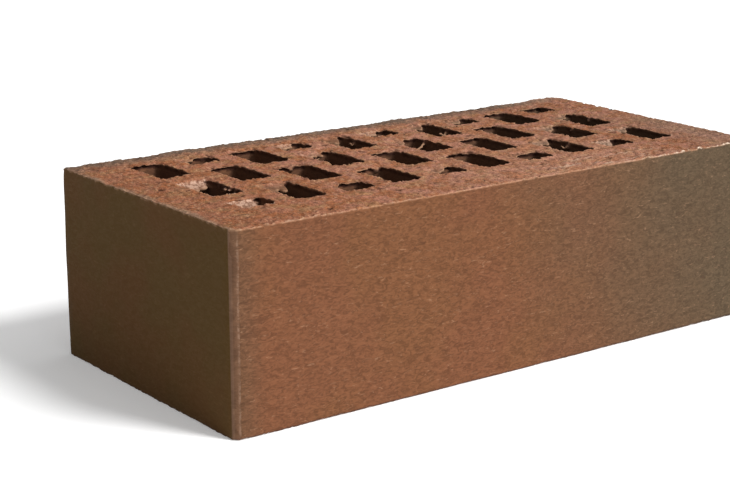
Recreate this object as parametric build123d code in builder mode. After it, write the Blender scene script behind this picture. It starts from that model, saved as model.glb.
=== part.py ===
"""Perforated clay facing brick, pushed through a die and cut off with a wire.

The brick lies on its bed. X runs along its length, Y across its width and Z up.
The origin is the centre of the bottom bed. The face that is laid to the outside
of a wall looks towards -Y. All sizes are millimetres.
"""
import os

from build123d import *

# Overall size of the fired brick
length = 240.0
width = 115.0
height = 71.0

# Flat that the die leaves on each of the four upright edges
arris_flat = 2.0

# Solid walls between the outside of the brick and the nearest slots
header_wall = 20.0
face_wall = 23.0
back_wall = 13.5

# Slots, which run from bed to bed with their long side across the width
slot_columns = 10
slot_width = 12.8
long_slot = 25.3
short_slot = 11.2
slot_corner = 2.0

# The columns share out what the two header walls leave of the length
first_column = -length / 2 + header_wall + slot_width / 2
column_pitch = (length - 2 * header_wall - slot_width) / (slot_columns - 1)

# Two long slots and a short one stand in each column, with equal cross webs between them
slots_from_back = (long_slot, long_slot, short_slot)
cross_web = (width - face_wall - back_wall - sum(slots_from_back)) / (len(slots_from_back) - 1)

with BuildPart() as brick:
    # The clay leaves the die with this section: outline, upright edges and slots
    with BuildSketch() as die_section:
        Rectangle(length, width)
        chamfer(die_section.vertices(), arris_flat)
        for column in range(slot_columns):
            column_x = first_column + column * column_pitch
            # Every second column is turned end for end, so that no web runs straight
            # from the face to the back and heat takes a longer way round
            turned = column % 2 == 1
            slot_edge = width / 2 - back_wall
            for slot_length in reversed(slots_from_back) if turned else slots_from_back:
                with Locations((column_x, slot_edge - slot_length / 2)):
                    RectangleRounded(slot_width, slot_length, slot_corner, mode=Mode.SUBTRACT)
                slot_edge -= slot_length + cross_web
    # Two wires cut the brick off the column, which leaves flat, sharp-edged beds
    extrude(amount=height)

brick.part.label = "brick"

os.makedirs("parts", exist_ok=True)
export_step(brick.part, "parts/brick.step")

print(f"column pitch {column_pitch:.2f} mm, web between columns {column_pitch - slot_width:.2f} mm")
print(f"cross web {cross_web:.2f} mm, volume {brick.part.volume / 1000:.0f} cm3")
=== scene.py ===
# %% [markdown]
# # A perforated clay facing brick
#
# This lesson dresses one fired brick in Blender. The brick's true shape, with its thirty
# slots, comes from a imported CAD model, which is loaded first and stays where it is. Everything
# here is in metres, in that model's frame: X along the brick, Y across it, Z up, and the origin
# in the middle of the bottom bed.

# %% Load the brick's true shape
import math
import random
import time

import bmesh
import bpy
import numpy as np
from mathutils import Matrix, Vector


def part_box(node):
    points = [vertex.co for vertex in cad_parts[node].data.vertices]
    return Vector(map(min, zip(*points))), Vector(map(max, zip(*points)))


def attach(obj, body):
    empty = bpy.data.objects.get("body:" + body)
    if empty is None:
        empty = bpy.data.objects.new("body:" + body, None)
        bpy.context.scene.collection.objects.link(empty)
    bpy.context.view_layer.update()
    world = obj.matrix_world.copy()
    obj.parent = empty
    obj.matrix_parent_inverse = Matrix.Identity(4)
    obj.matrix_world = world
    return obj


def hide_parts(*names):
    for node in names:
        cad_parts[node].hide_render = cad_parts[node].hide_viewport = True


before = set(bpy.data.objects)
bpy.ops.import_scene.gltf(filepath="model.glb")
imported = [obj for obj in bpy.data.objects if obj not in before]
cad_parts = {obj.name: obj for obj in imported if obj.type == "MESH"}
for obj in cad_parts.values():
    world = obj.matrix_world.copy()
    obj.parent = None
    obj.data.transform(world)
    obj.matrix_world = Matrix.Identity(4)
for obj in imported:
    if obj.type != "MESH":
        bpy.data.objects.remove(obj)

MM = 0.001
started = time.time()
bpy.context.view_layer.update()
cad_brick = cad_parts["brick"]
low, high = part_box("brick")
length, width, height = high - low
print(f"the brick is {length / MM:.1f} x {width / MM:.1f} x {height / MM:.1f} mm")

# %% [markdown]
# ## Looking at the brick
#
# The brick is seen from beyond its near corner, a little from above, with a long lens, so that
# its edges run almost parallel. The place of the camera was found by fitting the brick's corners
# and slots to a picture of it. A camera looks down its own -Z, so it is first tipped up to the
# horizon and then turned about the upright axis.

# %% Set up the camera
CAMERA_PLACE = Vector((-417.8, -527.2, 213.6)) * MM
CAMERA_DOWN = math.radians(14.74)
CAMERA_TURN = math.radians(-36.68)
LENS = 90.15
SENSOR = 36.0

bpy.ops.object.camera_add(location=CAMERA_PLACE, rotation=(math.pi / 2 - CAMERA_DOWN, 0, CAMERA_TURN))
camera = bpy.context.object
camera.name = "studio_camera"
camera.data.lens = LENS
camera.data.sensor_width = SENSOR
bpy.context.scene.camera = camera
print(f"the camera stands {(CAMERA_PLACE - Vector((0, 0, height / 2))).length:.3f} m from the brick")

# %% [markdown]
# ## Light and floor
#
# The long face and the far walls of the slots are lit, and the near end is in shade. So the main
# light comes from the front and a little from the right, a good way down from overhead. It is a
# distant lamp with a wide disc, which lights the pale floor evenly and still gives a shadow with
# a soft edge. The floor also glows a little, though it is no lamp: a painted glow that keeps the
# shadow pale. The world stands for the walls of the studio: bright in front of the brick, dark
# to its left, so that the near end and the right walls of the slots stay dark.

# %% Lay the floor and hang the light
FLOOR_HALF = 6.0
FLOOR_COLOUR = (0.88, 0.88, 0.88, 1)
FLOOR_ROUGHNESS = 0.9
FLOOR_GLOW = 0.23
KEY_TOWARDS = Vector((0.37, -0.65, 0.76)).normalized()
KEY_DISC = math.radians(18)
KEY_STRENGTH = 1.0 * math.pi
WALL_TOWARDS = Vector((0.55, -0.80, 0.25)).normalized()
DARK_WALL = 0.10
BRIGHT_WALL = 0.95


def plain_material(name, colour, roughness):
    """A material with one colour and one roughness, for what isn't part of the brick."""
    material = bpy.data.materials.new(name)
    material.use_nodes = True
    shader = material.node_tree.nodes["Principled BSDF"]
    shader.inputs["Base Color"].default_value = colour
    shader.inputs["Roughness"].default_value = roughness
    shader.inputs["Specular IOR Level"].default_value = 0.1
    return material


bpy.ops.object.select_all(action="DESELECT")
bpy.ops.mesh.primitive_plane_add(size=2 * FLOOR_HALF)
floor = bpy.context.object
floor.name = "studio_floor"
pale_floor = plain_material("pale_floor", FLOOR_COLOUR, FLOOR_ROUGHNESS)
# Painted glow: the floor gives off light of its own, which keeps the brick's shadow on it pale.
pale_floor.node_tree.nodes["Principled BSDF"].inputs["Emission Color"].default_value = (1, 1, 1, 1)
pale_floor.node_tree.nodes["Principled BSDF"].inputs["Emission Strength"].default_value = FLOOR_GLOW
floor.data.materials.append(pale_floor)

key_turn = (-KEY_TOWARDS).to_track_quat("-Z", "Y").to_euler()
bpy.ops.object.light_add(type="SUN", location=KEY_TOWARDS, rotation=key_turn)
key_light = bpy.context.object
key_light.name = "key_light"
key_light.data.angle = KEY_DISC
key_light.data.energy = KEY_STRENGTH

world = bpy.data.worlds.new("studio_walls")
world.use_nodes = True
walls = world.node_tree
towards = walls.nodes.new("ShaderNodeTexCoord")
facing = walls.nodes.new("ShaderNodeVectorMath")
facing.operation = "DOT_PRODUCT"
facing.inputs[1].default_value = WALL_TOWARDS
brightness = walls.nodes.new("ShaderNodeMapRange")
brightness.interpolation_type = "SMOOTHSTEP"
brightness.inputs["From Min"].default_value = -0.25
brightness.inputs["From Max"].default_value = 0.75
brightness.inputs["To Min"].default_value = DARK_WALL
brightness.inputs["To Max"].default_value = BRIGHT_WALL
walls.links.new(towards.outputs["Generated"], facing.inputs[0])
walls.links.new(facing.outputs["Value"], brightness.inputs["Value"])
walls.links.new(brightness.outputs["Result"], walls.nodes["Background"].inputs["Strength"])
walls.nodes["Background"].inputs["Color"].default_value = (1, 1, 1, 1)
bpy.context.scene.world = world
bpy.context.scene.view_settings.view_transform = "Standard"
print(f"the key light stands {math.degrees(math.asin(KEY_TOWARDS.z)):.0f} degrees above the floor")

# %% [markdown]
# ## The body of the brick
#
# A brick like this is pushed out of a die as an endless column of stiff clay, and wires cut it
# off the column. The die makes the four upright sides and the walls of the slots, and the
# wires make the two beds. The body could be built again from a cube and thirty cutters, but the
# CAD model already has every wall at its real size, so a copy of its mesh is the surest start.
# Such a mesh is loose triangles, so its doubled points are merged first.

# %% Copy the body and merge its doubles
TOUCHING = 0.001 * MM


def pick_only(*pieces):
    """Selects these objects and nothing else, the first one active, as clicks in the viewport do."""
    bpy.ops.object.select_all(action="DESELECT")
    for piece in pieces:
        piece.select_set(True)
    bpy.context.view_layer.objects.active = pieces[0]


body = bpy.data.objects.new("clay_brick", cad_brick.data.copy())
bpy.context.scene.collection.objects.link(body)
body.data.materials.clear()
pick_only(body)
bpy.ops.object.mode_set(mode="EDIT")
bpy.ops.mesh.select_all(action="SELECT")
bpy.ops.mesh.remove_doubles(threshold=TOUCHING)
bpy.ops.object.mode_set(mode="OBJECT")
print(f"the body has {len(body.data.vertices)} points and {len(body.data.polygons)} faces")

# %% [markdown]
# ## Where the slots are
#
# What the wire tore sits on the slots' rims, so the script has to know where each slot is. It
# reads them off the body: an edge between the top bed and an upright wall is a rim edge, and the
# rim edges that hang together are the rim of one slot. The longest run is the brick's own outline.

# %% Find the slots from their rims
UPRIGHT = 0.1


def rims_of(mesh):
    """Plan boxes (x0, x1, y0, y1) of the separate runs of edges around the top bed."""
    shape = bmesh.new()
    shape.from_mesh(mesh)
    shape.normal_update()
    rim_edges = set()
    for edge in shape.edges:
        lift = sorted(face.normal.z for face in edge.link_faces)
        if len(lift) == 2 and abs(lift[0]) < UPRIGHT and lift[1] > 1 - UPRIGHT:
            rim_edges.add(edge)
    boxes = []
    while rim_edges:
        run = [rim_edges.pop()]
        for edge in run:
            for corner in edge.verts:
                for neighbour in corner.link_edges:
                    if neighbour in rim_edges:
                        rim_edges.remove(neighbour)
                        run.append(neighbour)
        xs = [corner.co.x for edge in run for corner in edge.verts]
        ys = [corner.co.y for edge in run for corner in edge.verts]
        boxes.append((min(xs), max(xs), min(ys), max(ys)))
    shape.free()
    return boxes


rims = sorted(rims_of(body.data), key=lambda box: box[0] - box[1])
slots = sorted(rims[1:], key=lambda box: (round(box[0] / MM), -box[3]))
columns = [slots[first:first + 3] for first in range(0, len(slots), 3)]
print(f"{len(slots)} slots in {len(columns)} columns, the first {(slots[0][1] - slots[0][0]) / MM:.1f} mm wide")

# %% [markdown]
# ## What the wire tore
#
# The wire travels from the back of the brick to the face. Where it leaves a web and comes out
# over a slot, it pulls the soft clay along: the back rim of each slot hangs over as a ragged lip
# or runs down into the slot as a tongue. Such lumps could be sculpted one by one. Here one rough
# lump is modelled once, and copies of it are sized, tipped and set along the rims. They overlap
# the body, and a remesh further down melts all of it into one skin. A plainer lump of the same
# kind is for cutting pits and cracks, because the cut takes long with many faces.

# %% Model one rough lump of clay
LUMP_SEED = 4
LUMP_ROUGHNESS = 0.14

def rough_lump(name, fineness):
    """A ball 2 m across with its points shaken, to be copied and made small."""
    bpy.ops.object.select_all(action="DESELECT")
    bpy.ops.mesh.primitive_ico_sphere_add(subdivisions=fineness, radius=1.0)
    ball = bpy.context.object
    ball.name = name
    bpy.ops.object.mode_set(mode="EDIT")
    bpy.ops.mesh.select_all(action="SELECT")
    bpy.ops.transform.vertex_random(offset=LUMP_ROUGHNESS, seed=LUMP_SEED)
    bpy.ops.object.mode_set(mode="OBJECT")
    return ball


random.seed(LUMP_SEED)
lump = rough_lump("rough_lump", 3)
cutter = rough_lump("rough_cutter", 2)
print(f"the lump has {len(lump.data.polygons)} faces, the one to cut with {len(cutter.data.polygons)}")


def lump_copy(place, half_size, tip=0.0, turn=0.0, of=lump):
    """A copy of a lump with its own mesh, sized in mm, tipped about X, turned about Z and placed."""
    copy = bpy.data.objects.new("lump_copy", of.data.copy())
    bpy.context.scene.collection.objects.link(copy)
    spin = Matrix.Rotation(random.uniform(0, math.tau), 4, random.choice("XYZ"))
    size = Matrix.Diagonal((*(half * MM for half in half_size), 1))
    tilt = Matrix.Rotation(turn, 4, "Z") @ Matrix.Rotation(tip, 4, "X")
    copy.data.transform(Matrix.Translation(place) @ tilt @ size @ spin)
    return copy


# %% [markdown]
# A lip is a row of small scraps that reach a millimetre or so over the slot and sag a little. A
# tongue is a few strips of clay side by side, their back ends buried in the web and their front
# ends sloping down into the slot. How far each one reaches, on which part of the rim, and how pale
# it is, was judged slot by slot from the top bed of the real brick. Rows run from the back
# of the brick to the face.

# %% Lay lips and tongues on the back rims
LIP_REACH = (
    (1.0, 0.3, 0.2), (0.9, 1.1, 0.6), (1.1, 1.0, 1.0), (0.5, 1.0, 1.0), (0.2, 1.0, 0.8),
    (0.8, 0.7, 1.0), (0.2, 1.0, 1.0), (0.5, 1.0, 0.3), (0.8, 0.9, 0.2), (1.2, 0.8, 0.2),
)
TONGUES = {
    (0, 0): (1.8, 0.0, 0.1, 0.0), (0, 1): (4.4, 0.0, 0.8, 0.9), (0, 2): (7.0, 0.0, 0.8, 1.0),
    (1, 0): (2.4, 0.15, 0.5, 0.1), (1, 1): (2.0, 0.0, 0.12, 0.0), (1, 2): (5.5, 0.12, 0.8, 0.1),
    (2, 2): (2.0, 0.0, 0.3, 0.0), (3, 0): (3.0, 0.1, 0.75, 0.45), (3, 1): (2.6, 0.15, 0.5, 0.25),
    (4, 0): (5.5, 0.0, 0.75, 0.05), (4, 2): (3.1, 0.15, 0.7, 0.2), (5, 0): (3.2, 0.0, 0.65, 0.45),
    (5, 1): (4.0, 0.0, 0.6, 0.15),
    (6, 0): (4.8, 0.0, 0.85, 0.05), (6, 1): (2.6, 0.0, 0.2, 0.0), (6, 2): (2.0, 0.0, 0.25, 0.0),
    (7, 0): (3.2, 0.1, 0.75, 0.15), (7, 2): (3.0, 0.0, 0.75, 0.35), (8, 0): (2.6, 0.0, 0.2, 0.0),
    (8, 1): (3.6, 0.0, 0.72, 0.25), (8, 2): (5.0, 0.0, 0.75, 0.7), (9, 1): (3.6, 0.0, 0.6, 0.15),
    (9, 2): (3.0, 0.0, 0.85, 0.4),
}
SCRAP_HALF_LENGTH = 1.9
SCRAP_STEP = 1.7
STRIP_STEP = 2.0


def lip(slot, reach):
    """Ragged scraps side by side along the back rim of a slot; they reach farthest at its left end."""
    x0, x1, y0, y1 = slot
    scraps = []
    x = x0 + random.uniform(0.2, 0.8) * MM
    while x < x1:
        share = (x - x0) / (x1 - x0)
        out = reach * random.uniform(0.6, 1.2) * (1.3 - 0.5 * share)
        thick = random.uniform(0.34, 0.45)
        place = Vector((x, y1 + (SCRAP_HALF_LENGTH - out) * MM, high.z - (thick + 0.1) * MM))
        half_size = (SCRAP_STEP * random.uniform(0.7, 1.1), SCRAP_HALF_LENGTH, thick)
        scraps.append(lump_copy(place, half_size, tip=random.uniform(0.0, 0.12), turn=random.uniform(-0.3, 0.3)))
        x += SCRAP_STEP * MM * random.uniform(0.6, 1.2)
    return scraps


def tongue(slot, reach, left, right, pale=0.5):
    """Strips of dragged clay on part of a slot's back rim; the pale ones run down into the slot."""
    x0, x1, y0, y1 = slot
    strips = []
    x = x0 + left * (x1 - x0)
    while x < x0 + right * (x1 - x0):
        out = reach * random.uniform(0.65, 1.15)
        half_length = 0.6 * out + 0.8
        thick = random.uniform(0.7, 1.1)
        tip = 0.1 + 0.25 * pale + random.uniform(0.0, 0.15)
        drop = 0.8 * thick + math.sin(tip) * half_length
        place = Vector((x, y1 + (half_length * math.cos(tip) - out) * MM, high.z - drop * MM))
        half_size = (STRIP_STEP * random.uniform(0.6, 0.95), half_length, thick)
        strips.append(lump_copy(place, half_size, tip=tip, turn=random.uniform(-0.5, 0.5)))
        x += STRIP_STEP * MM * random.uniform(0.5, 1.1)
    return strips


torn_top = []
torn_bottom = []
for number, slot in enumerate(slots):
    column, row = divmod(number, 3)
    torn_top += lip(slot, LIP_REACH[column][row])
    if (column, row) in TONGUES:
        torn_top += tongue(slot, *TONGUES[column, row])
    torn_bottom += lip(slot, random.uniform(0.2, 0.9))
    if random.random() < 0.4:
        torn_bottom += tongue(slot, random.uniform(1.5, 5.0), 0.0, random.uniform(0.5, 1.0))
print(f"{len(torn_top)} lumps on the top bed's rims, {len(torn_bottom)} on the bottom bed's")

# %% [markdown]
# A few crumbs cling to the other rims, some blobs and strands hang from the slots' walls, and a row of
# them sits on the brick's edge over the near end, where the clay broke away as the wire passed.

# %% Scatter crumbs on the rims and along the edges
BLOBS = (
    (0, 1, 1.0, 0.35, 0.7), (0, 1, 0.96, 0.55, 0.8), (0, 1, 1.0, 0.75, 0.7), (0, 1, 0.9, 0.66, 0.5),
    (2, 1, 0.55, 0.02, 0.8), (3, 2, 0.8, 0.02, 0.8), (3, 1, 0.7, 0.05, 0.9), (4, 1, 0.85, 0.0, 0.8),
    (5, 1, 0.6, 0.98, 1.1), (5, 1, 0.3, 0.99, 0.9), (6, 1, 0.35, 0.99, 0.9), (7, 2, 0.98, 0.4, 0.8),
    (8, 1, 0.98, 0.35, 0.7), (8, 0, 0.96, 0.95, 0.7), (9, 1, 1.0, 0.45, 0.9), (1, 0, 0.85, 0.02, 0.6),
    (2, 1, 0.98, 0.62, 0.5),
)
STRANDS = (
    (4, 0, 1.0, 0.30, 0.72, 0.44, 0.50), (5, 1, 1.0, 0.26, 0.0, 0.56, 0.58), (6, 0, 1.0, 0.55, 0.6, 0.68, 0.55),
    (0, 1, 1.0, 0.42, 0.86, 0.62, 0.42), (7, 2, 1.0, 0.36, 0.7, 0.42, 0.45), (3, 1, 0.0, 0.2, 0.3, 0.3, 0.5),
)
STRAND_SAG = 1.2
RIM_CRUMBS = 7
CRUMB_HALF = (0.25, 0.65)
EDGE_CRUMB_STEP = 0.9
CORNER_INSET = 1.2 * MM


def ramp(values, start, end):
    """0 up to start, 1 from end on, and a smooth rise between them; start may be the larger."""
    share = np.clip((values - start) / (end - start), 0, 1)
    return share * share * (3 - 2 * share)


def rim_crumb(slot):
    """A crumb on the front, left or right rim of a slot."""
    x0, x1, y0, y1 = slot
    half = random.uniform(*CRUMB_HALF)
    side = random.choice(("left", "right", "front", "front"))
    x = {"left": x0, "right": x1}.get(side, random.uniform(x0, x1))
    y = y0 if side == "front" else random.uniform(y0, y1)
    place = Vector((x, y, high.z - random.uniform(0.4, 1.0) * half * MM))
    return lump_copy(place, (half, half * random.uniform(0.8, 2.0), 0.8 * half))


def hang(slot, across, along, half, sag=0.0):
    """A blob in a slot, just under the bed, at these shares of the slot's width and length."""
    x0, x1, y0, y1 = slot
    place = Vector((x0 + across * (x1 - x0), y1 - along * (y1 - y0), high.z - (0.9 + half + sag) * MM))
    return lump_copy(place, (1.5 * half, half, 0.75 * half), turn=random.uniform(-0.6, 0.6))


for column, row, across, along, half in BLOBS:
    torn_top.append(hang(columns[column][row], across, along, half))
for column, row, across, along, far_across, far_along, half in STRANDS:
    x0, x1, y0, y1 = columns[column][row]
    run = math.hypot((far_across - across) * (x1 - x0), (far_along - along) * (y1 - y0)) / MM
    steps = math.ceil(run / (1.1 * half))
    for step in range(steps + 1):
        share = step / steps
        bend = 0.02 * math.sin(5 * share)
        here = (across + share * (far_across - across), along + share * (far_along - along) + bend)
        sag = STRAND_SAG * math.sin(math.pi * share)
        torn_top.append(hang((x0, x1, y0, y1), *here, half * random.uniform(0.8, 1.25), sag))
for slot in slots:
    torn_top += [rim_crumb(slot) for crumb in range(RIM_CRUMBS)]
    torn_bottom += [rim_crumb(slot) for crumb in range(RIM_CRUMBS)]
y = low.y + 2 * MM
while y < high.y - 1 * MM:
    half = random.uniform(0.3, 0.75)
    inwards = (0.3 * half + random.choice((0.0, 0.0, 1.0, 2.4)) * random.random()) * MM
    inwards += CORNER_INSET * ramp(y, high.y - 7 * MM, high.y - 4 * MM)
    place = Vector((low.x + inwards, y, high.z - random.uniform(0.1, 0.8) * half * MM))
    torn_top.append(lump_copy(place, (half, half * random.uniform(1.0, 2.2), 0.7 * half)))
    y += EDGE_CRUMB_STEP * MM * random.uniform(0.4, 1.6)
print(f"{len(torn_top)} lumps on the top bed, {len(torn_bottom)} on the bottom bed")

# %% [markdown]
# Nothing stands above the wire, so what pokes through the plane of the bed is cut off there, by a
# bisect that throws away what is above the plane and closes the cut. The bottom bed's lumps were
# laid as if on a top bed too, so they are mirrored down afterwards.

# %% Trim the lumps to the bed and mirror the bottom ones down
def join(pieces, name):
    """Joins pieces into one object, as Ctrl J does."""
    pick_only(*pieces)
    bpy.ops.object.join()
    joined = bpy.context.object
    joined.name = name
    return joined


torn = []
for pieces, name in ((torn_top, "torn_top"), (torn_bottom, "torn_bottom")):
    sheet = join(pieces, name)
    bpy.ops.object.mode_set(mode="EDIT")
    bpy.ops.mesh.select_all(action="SELECT")
    bpy.ops.mesh.bisect(plane_co=(0, 0, high.z + 0.15 * MM), plane_no=(0, 0, 1), use_fill=True, clear_outer=True)
    bpy.ops.object.mode_set(mode="OBJECT")
    torn.append(sheet)
torn[1].data.transform(Matrix.Translation((0, 0, height)) @ Matrix.Diagonal((1, 1, -1, 1)))
torn[1].data.flip_normals()
print(f"the torn clay has {sum(len(sheet.data.polygons) for sheet in torn)} faces, {time.time() - started:.0f} s")

# %% [markdown]
# ## Chips, pits and cracks
#
# The wire also plucks clay out: pits and short cracks on the beds, most of them between the front
# slots and the face, a groove under each lip, where the dragged skin tore off the wall, and small
# chips along the edges from handling. They are the same lump used the other way round: copies are
# sunk into the surface and taken away from the body.

# %% Cut pits, cracks and chips out of the body
PIT_COUNT = 90
CRACK_COUNT = 120
CHIP_COUNT = 70
CRACK_ZONE = 21.0
GROOVE_STEP = 2.0


def on_edge():
    """A random place on one of the brick's twelve outer edges."""
    x = random.choice((low.x, high.x))
    y = random.choice((low.y, high.y))
    z = random.choice((low.z, high.z))
    way = random.choices("xyz", weights=(length, width, height))[0]
    if way == "x":
        x = random.uniform(low.x, high.x)
    elif way == "y":
        y = random.uniform(low.y, high.y)
    else:
        x -= math.copysign(0.8 * MM, x)
        y -= math.copysign(0.8 * MM, y)
        z = random.uniform(low.z, high.z)
    return Vector((x, y, z))


def groove(slot, left, right):
    """A chain of lumps to cut a groove into a slot's back wall, from left to right, just under the lip."""
    x0, x1, y0, y1 = slot
    chain = []
    x = x0 + left * (x1 - x0) + 0.3 * MM
    while x < x0 + right * (x1 - x0):
        place = Vector((x, y1 + 0.1 * MM, high.z - random.uniform(1.25, 1.75) * MM))
        chain.append(lump_copy(place, (1.6, random.uniform(0.8, 1.4), random.uniform(0.35, 0.85)), of=cutter))
        x += GROOVE_STEP * MM * random.uniform(0.7, 1.1)
    return chain


holes = []
for number, slot in enumerate(slots):
    reach, left, right, pale = TONGUES.get(divmod(number, 3), (0, 0, 0, 0))
    holes += groove(slot, 0, left) + groove(slot, right, 1)
for pit in range(PIT_COUNT):
    half = random.uniform(0.5, 1.3)
    bed = random.choice((low.z, high.z, high.z))
    place = Vector((random.uniform(low.x, high.x), random.uniform(low.y, high.y), bed))
    holes.append(lump_copy(place, (0.8 * half, half * random.uniform(1.0, 2.0), 0.8 * half), turn=random.uniform(-0.5, 0.5), of=cutter))
for crack in range(CRACK_COUNT):
    long = random.uniform(1.6, 4.2)
    bed = random.choice((low.z, high.z, high.z, high.z))
    near_face = random.random() < 0.6
    y = low.y + random.uniform(4, CRACK_ZONE) * MM if near_face else random.uniform(low.y, high.y)
    place = Vector((random.uniform(low.x, high.x), y, bed))
    holes.append(lump_copy(place, (long, random.uniform(0.38, 0.6), random.uniform(0.9, 1.4)), turn=random.uniform(-0.8, 0.2), of=cutter))
for chip in range(CHIP_COUNT):
    place = on_edge()
    half = random.uniform(0.35, 1.1) if place.z > 1 * MM else 0.3
    holes.append(lump_copy(place, (half * random.uniform(1, 2), half * random.uniform(0.7, 1.3), 0.6 * half), of=cutter))
plucked = join(holes, "plucked_out")

pick_only(body)
cut = body.modifiers.new("pluck", "BOOLEAN")
cut.operation = "DIFFERENCE"
cut.object = plucked
cut.solver = "EXACT"
cut.use_self = True
bpy.ops.object.modifier_apply(modifier=cut.name)
bpy.data.objects.remove(plucked)
bpy.data.objects.remove(lump)
bpy.data.objects.remove(cutter)
print(f"the body now has {len(body.data.polygons)} faces, {time.time() - started:.0f} s")

# %% [markdown]
# ## One skin
#
# The body and the lumps are joined and remeshed: a voxel remesh walks over the outside of all that
# overlaps and gives one closed skin of even, small faces, which the next steps can push about.

# %% Melt body and lumps into one skin
VOXEL = 0.6 * MM

pick_only(body, *torn)
bpy.ops.object.join()
remesh = body.modifiers.new("one_skin", "REMESH")
remesh.mode = "VOXEL"
remesh.voxel_size = VOXEL
bpy.ops.object.modifier_apply(modifier=remesh.name)
print(f"the skin has {len(body.data.polygons)} faces, {VOXEL / MM:.1f} mm across, {time.time() - started:.0f} s")

# %% [markdown]
# ## Where the skin is rough
#
# A wire-cut bed is coarse, a slot's rim is ragged, the outer edges are worn, and the sides that
# slid through the die are nearly smooth. Each of these is a vertex group, a map of weights from
# 0 to 1 on the skin's points, which then says how strongly a displacement works there. The maps
# are worked out from where a point is and which way it faces.

# %% Weigh the skin's points
WEIGHT_STEPS = 16


def points_and_normals(mesh):
    """The mesh's points in mm and their normals, as two tables of three columns."""
    count = len(mesh.vertices)
    points = np.empty(count * 3, np.float32)
    mesh.vertices.foreach_get("co", points)
    normals = np.empty(count * 3, np.float32)
    mesh.vertex_normals.foreach_get("vector", normals)
    return points.reshape(-1, 3) / MM, normals.reshape(-1, 3)


def to_slots(points):
    """For each point, its distance in plan to the nearest slot's wall: negative inside a slot."""
    nearest = np.full(len(points), np.inf)
    for x0, x1, y0, y1 in np.array(slots) / MM:
        dx = np.abs(points[:, 0] - (x0 + x1) / 2) - (x1 - x0) / 2
        dy = np.abs(points[:, 1] - (y0 + y1) / 2) - (y1 - y0) / 2
        outside = np.hypot(np.maximum(dx, 0), np.maximum(dy, 0))
        nearest = np.minimum(nearest, outside + np.minimum(np.maximum(dx, dy), 0))
    return nearest


def outline_distance(points):
    """For each point, its distance in plan to the nearest of the brick's four upright sides."""
    return np.minimum(half_length - np.abs(points[:, 0]), half_width - np.abs(points[:, 1]))


def past_back_rim(points):
    """For each point near a slot's back rim, how far it is past the rim towards the face."""
    past = np.full(len(points), -99.0)
    for x0, x1, y0, y1 in np.array(slots) / MM:
        near = (points[:, 0] > x0 - 0.8) & (points[:, 0] < x1 + 0.8) & (np.abs(points[:, 1] - y1) < 5)
        past[near] = y1 - points[near, 1]
    return past


def weigh(piece, name, weights):
    """Stores weights as a vertex group, in even steps, and says how many points it holds."""
    group = piece.vertex_groups.new(name=name)
    levels = np.round(weights * WEIGHT_STEPS).astype(int)
    for level in range(1, WEIGHT_STEPS + 1):
        members = np.flatnonzero(levels == level)
        if len(members):
            group.add(members.tolist(), level / WEIGHT_STEPS, "REPLACE")
    print(f"{name}: {np.count_nonzero(levels)} points")


points, normals = points_and_normals(body.data)
half_length, half_width, top = np.array(high) / MM
depth = np.minimum(points[:, 2], top - points[:, 2])
slot_distance = to_slots(points)
edge_distance = outline_distance(points)
flat = ramp(np.abs(normals[:, 2]), 0.5, 0.85) * ramp(depth, 1.6, 0.6)
weigh(body, "bed", flat * ramp(half_width - points[:, 1], -2.5, 3.5))
past = ramp(past_back_rim(points), -1.8, 0.4)
weigh(body, "sag", past * ramp(top - points[:, 2], 4.0, 1.5))
weigh(body, "sag_below", past * ramp(points[:, 2], 4.0, 1.5))
weigh(body, "rim", ramp(np.abs(slot_distance), 1.3, 0.2) * ramp(depth, 2.6, 0.5))
weigh(body, "edge", ramp(edge_distance, 1.4, 0.3) * ramp(depth, 1.4, 0.3) * ramp(points[:, 2], 0.0, 60.0))
weigh(body, "back_edge", ramp(half_width - points[:, 1], 4.5, 0.5) * ramp(top - points[:, 2], 3.5, 0.5))
outside = ramp(slot_distance, 0.5, 1.5)
foot = ramp(edge_distance, 2.5, 1.2) * ramp(points[:, 2], 2.5, 1.2)
sparing = np.maximum(ramp(points[:, 2], 66, 70), 0.2 * ramp(depth, 5, 1))
weigh(body, "keep", np.maximum(np.maximum(sparing, 0.6 * foot), 0.125 * outside))

# %% [markdown]
# ## Tearing, dragging and wear
#
# Each kind of roughness is a cloud pattern of its own grain that pushes the skin in or out, or any
# way at all for the ragged rims. The wire's drag marks are the same pattern pulled long across
# the brick, which is done by reading it through a stretched helper object. Beds are pushed in
# more than out, because they can't rise over the plane the wire cut.

# %% Push the skin about
def cloud(name, grain, depth=2, colour=False, sharp=False):
    """A cloud pattern whose blotches are about grain mm across, soft or with sharp creases."""
    texture = bpy.data.textures.new(name, "CLOUDS")
    texture.noise_type = "HARD_NOISE" if sharp else "SOFT_NOISE"
    texture.noise_scale = grain * MM
    texture.noise_depth = depth
    texture.cloud_type = "COLOR" if colour else "GRAYSCALE"
    return texture


def push(piece, texture, amount, group="", direction="NORMAL", middle=0.5, stretch=None):
    """Moves the piece's points by a pattern, as far as amount in mm, and applies it."""
    bpy.context.view_layer.objects.active = piece
    displace = piece.modifiers.new("push", "DISPLACE")
    displace.texture = texture
    displace.strength = amount * MM
    displace.direction = direction
    displace.mid_level = middle
    displace.vertex_group = group
    displace.texture_coords = "LOCAL"
    if stretch:
        bpy.ops.object.empty_add()
        helper = bpy.context.object
        helper.scale = stretch
        bpy.context.view_layer.update()
        displace.texture_coords = "OBJECT"
        displace.texture_coords_object = helper
        bpy.context.view_layer.objects.active = piece
    bpy.ops.object.modifier_apply(modifier=displace.name)
    if stretch:
        bpy.data.objects.remove(helper)


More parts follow.
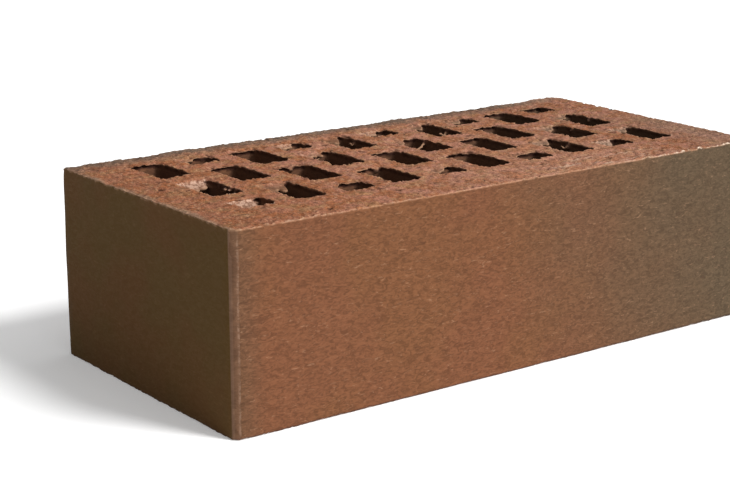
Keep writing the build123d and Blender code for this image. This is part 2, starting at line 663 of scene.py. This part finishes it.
push(body, None, -0.35, "sag", "Z", middle=0.0)
push(body, None, 0.35, "sag_below", "Z", middle=0.0)
push(body, cloud("handling", 34), 0.5)
push(body, cloud("rim_tear", 2.2, colour=True), 0.9, "rim", "RGB_TO_XYZ")
push(body, cloud("rim_crumble", 1.0, colour=True), 0.4, "rim", "RGB_TO_XYZ")
push(body, cloud("drag", 1.4), 0.35, "bed", middle=0.6, stretch=(1, 3, 1))
push(body, cloud("chatter", 4.5), 0.3, "bed", middle=0.6, stretch=(5, 1, 1))
push(body, cloud("torn", 3.2, 3, sharp=True), 1.0, "bed", middle=0.55)
push(body, cloud("grit", 1.1, 3), 0.7, "bed", middle=0.6)
push(body, cloud("edge_wear", 1.7, colour=True), 0.6, "edge", "RGB_TO_XYZ")
push(body, cloud("back_edge_wear", 13.0), 1.4, "back_edge", middle=0.7)
print(f"the skin is torn, dragged and worn, {time.time() - started:.0f} s")

# %% [markdown]
# The bottom bed's grains can't reach below the floor that the brick lies on. The few that do are
# pressed up to it, which gives the brick the flat spots it really stands on.

# %% Set the brick down on its high spots
points, normals = points_and_normals(body.data)
print(f"{np.count_nonzero(points[:, 2] < 0)} of {len(points)} points were below the floor")
points[:, 2] = np.maximum(points[:, 2], 0)
body.data.vertices.foreach_set("co", (points * MM).ravel())
body.data.update()

# %% [markdown]
# ## A lighter mesh
#
# The remesh made the deep slot walls as fine as the beds, though nobody sees them so close. A
# decimate takes points away where the skin is flat and keeps them where it is rough, and a vertex
# group makes it spare the top bed. The flat sides are then a few wide triangles, so the shading is
# weighed by the size of the faces, which keeps them flat to the eye right up to the edges.

# %% Thin the mesh out where it is flat
MOST_TRIANGLES = 190000

decimate = body.modifiers.new("thin_out", "DECIMATE")
decimate.ratio = min(1, MOST_TRIANGLES / (2 * len(body.data.polygons)))
decimate.vertex_group = "keep"
decimate.invert_vertex_group = True
decimate.vertex_group_factor = 10.0
bpy.ops.object.modifier_apply(modifier=decimate.name)
body.vertex_groups.clear()
print(f"the lighter brick has {len(body.data.polygons)} triangles, {time.time() - started:.0f} s")

# %% [markdown]
# A crumb that touches nothing would hang in the air, and a bubble that the lumps shut in would be
# a shell inside the brick. So what isn't part of the one skin is separated and thrown away.

# %% Throw away loose crumbs and even out the shading
pick_only(body)
bpy.ops.object.mode_set(mode="EDIT")
bpy.ops.mesh.select_all(action="SELECT")
bpy.ops.mesh.separate(type="LOOSE")
bpy.ops.object.mode_set(mode="OBJECT")
loose = sorted(bpy.context.selected_objects, key=lambda part: len(part.data.vertices))
body = loose.pop()
body.name = "clay_brick"
for crumb in loose:
    bpy.data.objects.remove(crumb)
pick_only(body)
bpy.ops.object.shade_smooth()
even = body.modifiers.new("even_shading", "WEIGHTED_NORMAL")
even.weight = 80
bpy.ops.object.modifier_apply(modifier=even.name)
faces_at_edge = np.zeros(len(body.data.edges), int)
np.add.at(faces_at_edge, [loop.edge_index for loop in body.data.loops], 1)
print(f"{len(loose)} loose bits are gone, {len(body.data.polygons)} triangles are left")
print(f"{np.count_nonzero(faces_at_edge != 2)} edges don't have a face on each side")

# %% [markdown]
# ## Masks for the finish
#
# The finish differs between the wire-cut beds, the die-made sides and the slots, and it is
# paler on crumbs that stick out. Painted shade darkens the slots deep down, the creases and pits,
# and the walls just under the lips and rims. Attributes carry that to the material, one number
# each for each point of the mesh. How far a point sticks out is read from its
# neighbours: they lie behind it, seen along its normal.

# %% Mark beds, slots, crumbs and the painted shade of slots, creases and pits for the material
def mark(piece, name, values):
    """Stores one number for each point of the piece, which its material can read."""
    attribute = piece.data.attributes.new(name, "FLOAT", "POINT")
    attribute.data.foreach_set("value", np.clip(values, 0, 1).astype(np.float32))
    print(f"{name}: mean {values.mean():.2f}")


def sticking_out(mesh, points, normals):
    """For each point, how far it stands out from its neighbours, in parts of their distance."""
    ends = np.empty(len(mesh.edges) * 2, np.int32)
    mesh.edges.foreach_get("vertices", ends)
    ends = ends.reshape(-1, 2)
    total = np.zeros(len(points))
    count = np.zeros(len(points))
    for here, there in ((0, 1), (1, 0)):
        step = points[ends[:, there]] - points[ends[:, here]]
        step /= np.linalg.norm(step, axis=1, keepdims=True) + 1e-9
        behind = -(step * normals[ends[:, here]]).sum(1)
        total += np.bincount(ends[:, here], behind, len(points))
        count += np.bincount(ends[:, here], minlength=len(points))
    out = total / np.maximum(count, 1)
    near = np.bincount(ends[:, 0], out[ends[:, 1]], len(points)) + np.bincount(ends[:, 1], out[ends[:, 0]], len(points))
    return 0.5 * out + 0.5 * near / np.maximum(count, 1)


def paleness(points):
    """For each point near a tongue's part of a slot, how pale that tongue is; 0.1 elsewhere."""
    pale_there = np.full(len(points), 0.1)
    for (column, row), (reach, left, right, pale) in TONGUES.items():
        x0, x1, y0, y1 = (side / MM for side in columns[column][row])
        share = (points[:, 0] - x0) / (x1 - x0)
        near = (share > left - 0.15) & (share < right + 0.15) & (points[:, 1] > y0) & (points[:, 1] < y1 + 1)
        pale_there[near] = pale
    return pale_there


points, normals = points_and_normals(body.data)
depth = np.minimum(points[:, 2], top - points[:, 2])
inside = ramp(to_slots(points), 0.5, -0.2)
on_bed = ramp(depth, 1.3, 0.5) * ramp(np.abs(normals[:, 2]), 0.3, 0.75)
out = sticking_out(body.data, points, normals)
upside_down = points[:, 2] < top / 2
border = outline_distance(points)
on_bed *= np.where(upside_down, ramp(border, 0.5, 1.2) * ramp(-normals[:, 2], 0.6, 0.9), 1.0)
# Painted shade in the pits and cracks that sink below the bed.
painted_pit_shade = ramp(to_slots(points), 0.2, 0.6) * ramp(border, 0.8, 1.6) * ramp(depth, 0.6, 1.0) * ramp(depth, 3.0, 2.0)
facing_back = ramp(-normals[:, 1], 0.3, 0.7)
facing_end = ramp(-normals[:, 0], 0.3, 0.7)
past = past_back_rim(points)
# Painted shadow: a dark band on the back walls just under the lips, and on the right walls just under the rim.
painted_lip_shadow = ramp(past, -2.0, -1.2) * ramp(past, 1.6, 1.1) * ramp(normals[:, 2], 0.55, 0.25) * ramp(depth, 0.55, 0.95) * ramp(depth, 2.7, 2.1)
painted_rim_shade = inside * facing_end * ramp(depth, 0.1, 0.5) * ramp(depth, 2.6, 1.2)
mark(body, "wire_cut", np.maximum(on_bed, inside * ramp(depth, 1.8, 0.6)))
# Painted shade: the slots' walls darken with depth, less on the walls that face the light.
mark(body, "painted_slot_shade", inside * (1 - 0.7 * facing_back) * (1 - 0.4 * facing_end) * ramp(depth, 2.0, 10.0))
mark(body, "painted_lip_shadow", np.where(upside_down, 0, np.maximum(painted_lip_shadow, 0.9 * painted_rim_shade)))
mark(body, "painted_pit_shade", painted_pit_shade)
# A greyer tone on the slots' walls, and partly painted shade: it also dims clay that lies deeper in a slot.
mark(body, "slot_wall_tone_and_shade", inside * ramp(depth, 0.8, 2.0) * (0.5 + 0.5 * ramp(normals[:, 2], 0.35, 0.1)))
# Pale smeared clay on the tongues, which fades out lower down in the slot as painted shade.
mark(body, "smear_and_shade", inside * ramp(normals[:, 2], 0.05, 0.5) * ramp(top - points[:, 2], 4.5, 0.3) * paleness(points))
mark(body, "crumb", ramp(out, 0.06, 0.32) * np.where(upside_down, ramp(border, 1.5, 3.0), ramp(depth, 6.0, 3.0)))
# Painted shade in creases: points that lie behind their neighbours are darkened.
mark(body, "crack", ramp(out, -0.05, -0.28))

# %% [markdown]
# ## Building a material in code
#
# A material is a tree of nodes. Three small functions place and wire them, so that each line
# below reads as one step of the finish. All the patterns are laid out in millimetres of the
# object's own coordinates, so that they stay on the brick wherever it goes.

# %% Small functions for placing nodes
def node(tree, kind, inputs, **settings):
    """Adds a shader node; an input is given as a number, a colour or another node's socket."""
    made = tree.nodes.new("ShaderNode" + kind)
    made.location = (230 * (len(tree.nodes) % 9), -280 * (len(tree.nodes) // 9))
    for name, value in settings.items():
        setattr(made, name, value)
    for name, value in inputs.items():
        if isinstance(value, bpy.types.NodeSocket):
            tree.links.new(value, made.inputs[name])
        else:
            made.inputs[name].default_value = value
    return made


def sum_up(tree, operation, first, second, third=0.0):
    """One step of arithmetic on numbers; MULTIPLY_ADD also takes the third."""
    return node(tree, "Math", {0: first, 1: second, 2: third}, operation=operation).outputs[0]


def rise(tree, value, start, end, bottom=0.0, top=1.0):
    """A smooth rise from bottom to top as value goes from start to end."""
    inputs = {"Value": value, "From Min": start, "From Max": end, "To Min": bottom, "To Max": top}
    return node(tree, "MapRange", inputs, interpolation_type="SMOOTHSTEP").outputs["Result"]


def noise(tree, vector, scale, detail=2.0, roughness=0.5, distortion=0.0):
    """A cloudy pattern around 0.5; scale is in blotches per mm."""
    inputs = {"Vector": vector, "Scale": scale, "Detail": detail, "Roughness": roughness, "Distortion": distortion}
    return node(tree, "TexNoise", inputs).outputs[0]


def blend(tree, share, first, second, way="MIX"):
    """Mixes two colours, or lays the second over the first in some other way."""
    return node(tree, "Mix", {0: share, 6: first, 7: second}, data_type="RGBA", blend_type=way).outputs[2]


def stretched(tree, vector, scale):
    """The vector scaled along each axis: a factor under 1 draws a pattern out along that axis."""
    return node(tree, "VectorMath", {0: vector, 1: scale}, operation="MULTIPLY").outputs[0]


def new_group(name, outputs):
    """A node group that takes a place in mm and gives the named numbers."""
    group = bpy.data.node_groups.new(name, "ShaderNodeTree")
    group.interface.new_socket("Place", in_out="INPUT", socket_type="NodeSocketVector")
    for output in outputs:
        group.interface.new_socket(output, in_out="OUTPUT", socket_type="NodeSocketFloat")
    entry = group.nodes.new("NodeGroupInput")
    leave = group.nodes.new("NodeGroupOutput")
    leave.location = (230 * 10, 0)
    return group, entry.outputs["Place"], leave


print("the node functions are ready")

# %% [markdown]
# ## Kiln flashing
#
# In a reducing kiln the gas turns the red clay grey and olive where it can reach. On this brick
# that is the near end, a band at the far right of the face, and the rims of the beds, because its
# neighbours in the stack covered the rest. The border of the flashed band wanders and leans. The
# near end's colours further down are darker still, as painted shade.

# %% Kiln flashing
flash, place, leave = new_group("kiln_flashing", ("Right end", "Left end", "Near end", "Back rim", "Near rim"))
xyz = node(flash, "SeparateXYZ", {0: place}).outputs
wander = noise(flash, place, 0.022, detail=3.0)
leaning = sum_up(flash, "MULTIPLY_ADD", xyz["Z"], 0.35, xyz["X"])
wandering = sum_up(flash, "MULTIPLY_ADD", wander, 70.0, leaning)
flash.links.new(rise(flash, wandering, 25.0, 165.0), leave.inputs["Right end"])
flash.links.new(rise(flash, xyz["X"], -106.0, -118.0), leave.inputs["Left end"])
flash.links.new(rise(flash, xyz["X"], -119.3, -119.8), leave.inputs["Near end"])
ragged = noise(flash, place, 0.14, detail=4.0)
back = rise(flash, sum_up(flash, "MULTIPLY_ADD", ragged, 14.0, xyz["Y"]), 51.0, 62.0)
back = sum_up(flash, "MULTIPLY", back, rise(flash, xyz["X"], 125.0, 100.0, 0.5, 1.0))
far_end = rise(flash, sum_up(flash, "MULTIPLY_ADD", ragged, 20.0, xyz["X"]), 94.0, 128.0, 0.0, 0.8)
far_end = sum_up(flash, "MULTIPLY", far_end, rise(flash, xyz["Y"], 25.0, -20.0, 0.1, 0.8))
flash.links.new(sum_up(flash, "MAXIMUM", back, far_end), leave.inputs["Back rim"])
flash.links.new(rise(flash, sum_up(flash, "MULTIPLY_ADD", ragged, -7.0, xyz["X"]), -120.2, -123.8), leave.inputs["Near rim"])
print(f"{flash.name}: {len(flash.nodes)} nodes")

# %% [markdown]
# ## The skin that the die leaves
#
# Clay that squeezes past the steel of the die tears slightly across the flow. After firing that is
# a fine, wavy grain that runs level round the brick, with sandy pale flecks and dark specks of
# iron in it.

# %% Die skin
die_skin, place, leave = new_group("die_skin", ("Grain", "Fleck", "Tear", "Speck", "Height"))
level = stretched(die_skin, place, (0.46, 0.46, 1.0))
wavy = noise(die_skin, level, 0.78, detail=1.5, roughness=0.5, distortion=1.4)
fine = noise(die_skin, level, 1.7, detail=1.5, roughness=0.5, distortion=0.6)
grain = sum_up(die_skin, "MULTIPLY_ADD", fine, 0.28, sum_up(die_skin, "MULTIPLY", wavy, 0.72))
strokes = noise(die_skin, stretched(die_skin, place, (0.30, 0.30, 1.0)), 1.1, detail=2.0, roughness=0.6, distortion=1.2)
specks = node(die_skin, "TexVoronoi", {"Vector": place, "Scale": 0.30}).outputs["Distance"]
die_skin.links.new(grain, leave.inputs["Grain"])
die_skin.links.new(rise(die_skin, strokes, 0.60, 0.74), leave.inputs["Fleck"])
die_skin.links.new(rise(die_skin, strokes, 0.38, 0.28), leave.inputs["Tear"])
die_skin.links.new(rise(die_skin, specks, 0.14, 0.07), leave.inputs["Speck"])
die_skin.links.new(grain, leave.inputs["Height"])
print(f"{die_skin.name}: {len(die_skin.nodes)} nodes")

# %% [markdown]
# ## The grit that the wire leaves
#
# The cut bed is open clay: coarse and granular, drawn out a little across the brick where the wire
# dragged it, paler and pinker on the grains and darker in the tears between them.

# %% Wire-cut grit
grit, place, leave = new_group("wire_cut_grit", ("Patch", "Tan patch", "Grain", "Tear", "Pale grain", "Streak", "Front right", "Height"))
dragged = stretched(grit, place, (1.0, 0.7, 1.0))
patches = noise(grit, place, 0.13, detail=4.0, roughness=0.6)
tan = noise(grit, stretched(grit, place, (1.0, 1.4, 1.0)), 0.10, detail=4.0, roughness=0.65)
coarse = noise(grit, dragged, 0.62, detail=4.0, roughness=0.65)
granules = noise(grit, place, 2.0, detail=2.0, roughness=0.6)
tears = noise(grit, stretched(grit, place, (0.42, 0.95, 1.0)), 0.5, detail=3.0, roughness=0.65, distortion=0.8)
grains = sum_up(grit, "MULTIPLY_ADD", granules, 0.52, sum_up(grit, "MULTIPLY", coarse, 0.48))
pale = noise(grit, stretched(grit, place, (1.0, 0.7, 1.0)), 0.8, detail=4.0, roughness=0.75)
grit.links.new(rise(grit, patches, 0.40, 0.60), leave.inputs["Patch"])
grit.links.new(rise(grit, tan, 0.50, 0.64), leave.inputs["Tan patch"])
grit.links.new(grains, leave.inputs["Grain"])
grit.links.new(rise(grit, tears, 0.39, 0.32), leave.inputs["Tear"])
clusters = rise(grit, noise(grit, place, 0.07, detail=2.0), 0.42, 0.60)
grains_apart = node(grit, "TexVoronoi", {"Vector": stretched(grit, place, (1.0, 0.55, 1.0)), "Scale": 0.5}).outputs["Distance"]
dots = sum_up(grit, "MULTIPLY", rise(grit, grains_apart, 0.30, 0.20), clusters)
grit.links.new(sum_up(grit, "MAXIMUM", rise(grit, pale, 0.54, 0.63), dots), leave.inputs["Pale grain"])
xyz = node(grit, "SeparateXYZ", {0: place}).outputs
scraped = noise(grit, stretched(grit, place, (0.16, 1.0, 1.0)), 0.55, detail=3.0, roughness=0.6, distortion=0.4)
scraped = rise(grit, scraped, 0.56, 0.62)
along_face = sum_up(grit, "MULTIPLY", rise(grit, xyz["Y"], -38.0, -48.0), rise(grit, sum_up(grit, "ABSOLUTE", sum_up(grit, "SUBTRACT", xyz["X"], 48.0), 0.0), 42.0, 12.0))
grit.links.new(sum_up(grit, "MULTIPLY", scraped, along_face), leave.inputs["Streak"])
to_right = sum_up(grit, "MULTIPLY", rise(grit, xyz["X"], -70.0, 50.0), rise(grit, xyz["X"], 95.0, 50.0, 0.0, 1.0))
to_front = rise(grit, xyz["Y"], 25.0, -50.0, 0.35, 1.0)
grit.links.new(sum_up(grit, "MULTIPLY", to_right, to_front), leave.inputs["Front right"])
grit.links.new(grains, leave.inputs["Height"])
print(f"{grit.name}: {len(grit.nodes)} nodes")

# %% [markdown]
# ## Fired clay
#
# The whole brick is one clay, so it is one material. It is laid up in the order in which the
# brick is made: red body, die skin, flashing, and then the wire-cut grit where the mask says
# bed. Last come painted shade in the slots, creases and pits, under the lips and at the foot,
# pale crumbs, and a bright burr along the top edge of the face that is partly a painted
# highlight. Colours are linear, as Blender takes them.

# %% Fired clay
RED_BODY = (0.145, 0.0545, 0.0235, 1)
BROWN_BODY = (0.1425, 0.0562, 0.0222, 1)
FLASHED_GREY = (0.081, 0.0530, 0.0288, 1)
# The near end is flashed olive and red, and darker still as painted shade.
SHADED_NEAR_END_OLIVE = (0.081, 0.0425, 0.0085, 1)
SHADED_NEAR_END_RED = (0.089, 0.0390, 0.0085, 1)
BED_RED = (0.242, 0.084, 0.033, 1)
BED_PINK = (0.298, 0.126, 0.080, 1)
BED_TAN = (0.275, 0.138, 0.062, 1)
BED_PALE = (0.430, 0.230, 0.150, 1)
BACK_RIM_GREY = (0.112, 0.080, 0.058, 1)
FAR_RIM_GREY = (0.215, 0.136, 0.098, 1)
NEAR_RIM_BEIGE = (0.240, 0.160, 0.105, 1)
PALE_GRAIN = (0.520, 0.300, 0.178, 1)
SMEARED_CLAY = (0.600, 0.385, 0.285, 1)
# Dark iron specks and tears, and also the colour of the painted shade in creases, in pits and at the foot.
DARK_TEAR_AND_SHADE = (0.055, 0.021, 0.012, 1)
SLOT_WALL_TONE_AND_SHADE = (0.120, 0.060, 0.036, 1)
# The colour of the painted shade deep in the slots and under the lips.
PAINTED_SLOT_SHADE = (0.031, 0.0085, 0.0050, 1)
# Burr colours, which also paint the highlight along the edges; the paler one also colours the scraped streaks.
BURR_AND_HIGHLIGHT = (0.500, 0.330, 0.235, 1)
PALE_CLAY_AND_HIGHLIGHT = (0.800, 0.640, 0.500, 1)

clay = bpy.data.materials.new("fired_clay")
clay.use_nodes = True
tree = clay.node_tree
shader = tree.nodes["Principled BSDF"]
place = stretched(tree, node(tree, "TexCoord", {}).outputs["Object"], (1 / MM, 1 / MM, 1 / MM))
flashing = node(tree, "Group", {}, node_tree=flash)
skin = node(tree, "Group", {}, node_tree=die_skin)
cut = node(tree, "Group", {}, node_tree=grit)
for group in (flashing, skin, cut):
    tree.links.new(place, group.inputs["Place"])


def mask(name):
    """The number that the mesh carries under this name."""
    return node(tree, "Attribute", {}, attribute_name=name).outputs["Fac"]


patch = rise(tree, noise(tree, place, 0.03, detail=3.0), 0.35, 0.65)
side = blend(tree, patch, RED_BODY, BROWN_BODY)
side = blend(tree, sum_up(tree, "MULTIPLY", flashing.outputs["Left end"], 0.4), side, FLASHED_GREY)
side = blend(tree, flashing.outputs["Right end"], side, FLASHED_GREY)
xyz = node(tree, "SeparateXYZ", {0: place}).outputs
to_corner = sum_up(tree, "MULTIPLY", sum_up(tree, "ADD", xyz["X"], xyz["Y"]), -1.0)
arris_flat = rise(tree, to_corner, 175.0, 175.3)
# Flashed clay on the near end, darkened further as painted shade.
flashed_and_shaded_end = blend(tree, patch, SHADED_NEAR_END_OLIVE, SHADED_NEAR_END_RED)
on_near_end = rise(tree, arris_flat, 0.0, 1.0, 1.0, 0.0)
on_near_end = sum_up(tree, "MULTIPLY", flashing.outputs["Near end"], on_near_end)
side = blend(tree, on_near_end, side, flashed_and_shaded_end)
side = blend(tree, sum_up(tree, "MULTIPLY", arris_flat, 0.06), side, BURR_AND_HIGHLIGHT)
rough_side = rise(tree, sum_up(tree, "MAXIMUM", on_near_end, sum_up(tree, "MULTIPLY", arris_flat, 0.6)), 0.0, 1.0, 1.0, 0.2)
shade = rise(tree, skin.outputs["Grain"], 0.33, 0.67, -0.22, 0.24)
shade = sum_up(tree, "MULTIPLY_ADD", shade, rough_side, 1.0)
side = node(tree, "VectorMath", {0: side, 3: shade}, operation="SCALE").outputs[0]
fleck = sum_up(tree, "MULTIPLY", skin.outputs["Fleck"], rough_side)
side = blend(tree, sum_up(tree, "MULTIPLY", fleck, 0.22), side, PALE_GRAIN)
speck = sum_up(tree, "MAXIMUM", skin.outputs["Speck"], sum_up(tree, "MULTIPLY", skin.outputs["Tear"], 0.7))
speck = sum_up(tree, "MULTIPLY", speck, rough_side)
side = blend(tree, sum_up(tree, "MULTIPLY", speck, 0.4), side, DARK_TEAR_AND_SHADE)
# Painted shade: the sides darken in the last millimetre above the floor.
side = blend(tree, rise(tree, xyz["Z"], 0.9, 0.3, 0.0, 0.55), side, DARK_TEAR_AND_SHADE)

pinker = sum_up(tree, "MULTIPLY", cut.outputs["Patch"], rise(tree, xyz["X"], -110.0, -30.0, 0.45, 1.0))
bed = blend(tree, pinker, BED_RED, BED_PINK)
bed = blend(tree, sum_up(tree, "MULTIPLY", cut.outputs["Tan patch"], 0.75), bed, BED_TAN)
bed = blend(tree, sum_up(tree, "MULTIPLY", cut.outputs["Front right"], 0.27), bed, BED_PALE)
bed = blend(tree, sum_up(tree, "MULTIPLY", flashing.outputs["Near rim"], 0.75), bed, NEAR_RIM_BEIGE)
rim_grey = blend(tree, rise(tree, xyz["X"], 85.0, 105.0), BACK_RIM_GREY, FAR_RIM_GREY)
bed = blend(tree, sum_up(tree, "MULTIPLY", flashing.outputs["Back rim"], 0.9), bed, rim_grey)
shade = rise(tree, cut.outputs["Grain"], 0.37, 0.63, 0.62, 1.42)
shade = sum_up(tree, "MULTIPLY", shade, rise(tree, xyz["X"], -116.0, -85.0, 0.90, 1.03))
shade = sum_up(tree, "MULTIPLY", shade, rise(tree, xyz["X"], 25.0, 100.0, 1.0, 0.93))
bed = node(tree, "VectorMath", {0: bed, 3: shade}, operation="SCALE").outputs[0]
bed = blend(tree, sum_up(tree, "MULTIPLY", cut.outputs["Pale grain"], 0.42), bed, PALE_GRAIN)
bed = blend(tree, sum_up(tree, "MULTIPLY", cut.outputs["Tear"], 0.75), bed, DARK_TEAR_AND_SHADE)
bed = blend(tree, sum_up(tree, "MULTIPLY", cut.outputs["Streak"], 0.26), bed, PALE_CLAY_AND_HIGHLIGHT)

wire_cut = mask("wire_cut")
colour = blend(tree, wire_cut, side, bed)
# Greyer slot walls, partly painted shade on the clay deeper in the slots.
colour = blend(tree, sum_up(tree, "MULTIPLY", mask("slot_wall_tone_and_shade"), 0.7), colour, SLOT_WALL_TONE_AND_SHADE)
# Painted shade deep in the slots.
colour = blend(tree, mask("painted_slot_shade"), colour, PAINTED_SLOT_SHADE)
fibres = noise(tree, stretched(tree, place, (1.0, 0.6, 0.8)), 0.9, detail=3.0, roughness=0.65)
smeared = sum_up(tree, "MULTIPLY", mask("smear_and_shade"), rise(tree, fibres, 0.42, 0.58, 0.2, 1.0))
colour = blend(tree, smeared, colour, SMEARED_CLAY)
colour = blend(tree, sum_up(tree, "MULTIPLY", mask("crumb"), 0.5), colour, PALE_GRAIN)
# Painted shade in the creases.
colour = blend(tree, sum_up(tree, "MULTIPLY", mask("crack"), 0.75), colour, DARK_TEAR_AND_SHADE)
# Painted shade in the pits.
colour = blend(tree, sum_up(tree, "MULTIPLY", mask("painted_pit_shade"), 0.8), colour, DARK_TEAR_AND_SHADE)
# Painted shadow under the lips and the rims.
colour = blend(tree, sum_up(tree, "MULTIPLY", mask("painted_lip_shadow"), 0.9), colour, PAINTED_SLOT_SHADE)
# Painted highlight, partly worn burr: broken pale lines along the top edge of the face, the upright arrises and the
# near end's edge, where these edges catch the light.
burr_highlight = rise(tree, sum_up(tree, "SUBTRACT", xyz["Z"], xyz["Y"]), 127.7, 128.0)
from_arris = node(tree, "Math", {0: xyz["X"], 1: 118.0, 2: 0.35}, operation="COMPARE").outputs[0]
from_left_arris = node(tree, "Math", {0: xyz["X"], 1: -118.0, 2: 0.35}, operation="COMPARE").outputs[0]
arris_highlight = sum_up(tree, "MULTIPLY", sum_up(tree, "MAXIMUM", from_arris, from_left_arris), rise(tree, xyz["Y"], -56.8, -57.2))
header_edge_highlight = node(tree, "Math", {0: to_corner, 1: 175.2, 2: 0.3}, operation="COMPARE").outputs[0]
header_edge_highlight = sum_up(tree, "MULTIPLY", header_edge_highlight, rise(tree, xyz["X"], -119.2, -119.5))
broken = rise(tree, noise(tree, place, 0.5, detail=5.0, roughness=0.75), 0.44, 0.62)
stronger = rise(tree, xyz["X"], 40.0, 90.0)
burr_highlight = sum_up(tree, "MULTIPLY", burr_highlight, rise(tree, stronger, 0.0, 1.0, 0.4, 1.0))
arris_highlight = sum_up(tree, "MULTIPLY", arris_highlight, 0.2)
edge_highlight = sum_up(tree, "MULTIPLY", sum_up(tree, "MAXIMUM", burr_highlight, arris_highlight), broken)
edge_highlight = sum_up(tree, "MAXIMUM", edge_highlight, sum_up(tree, "MULTIPLY", header_edge_highlight, 0.09))
colour = blend(tree, edge_highlight, colour, blend(tree, stronger, BURR_AND_HIGHLIGHT, PALE_CLAY_AND_HIGHLIGHT))
tree.links.new(colour, shader.inputs["Base Color"])

roughness = rise(tree, skin.outputs["Grain"], 0.3, 0.7, 0.93, 0.80)
tree.links.new(roughness, shader.inputs["Roughness"])
shader.inputs["Specular IOR Level"].default_value = 0.2
relief = node(tree, "Mix", {0: wire_cut, 2: skin.outputs["Height"], 3: cut.outputs["Height"]}, data_type="FLOAT").outputs[0]
depth_of_relief = sum_up(tree, "MULTIPLY", rise(tree, wire_cut, 0.0, 1.0, 0.5, 1.0), rough_side)
depth_of_relief = sum_up(tree, "MAXIMUM", depth_of_relief, wire_cut)
height_socket = sum_up(tree, "MULTIPLY", relief, depth_of_relief)
bump = node(tree, "Bump", {"Strength": 1.0, "Distance": 0.5 * MM, "Height": height_socket})
tree.links.new(bump.outputs["Normal"], shader.inputs["Normal"])
body.data.materials.clear()
body.data.materials.append(clay)
print(f"{clay.name}: {len(tree.nodes)} nodes")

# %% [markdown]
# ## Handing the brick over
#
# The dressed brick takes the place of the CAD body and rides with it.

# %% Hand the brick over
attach(body, "root")
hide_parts("brick")
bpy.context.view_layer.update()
print(f"done after {time.time() - started:.0f} s")
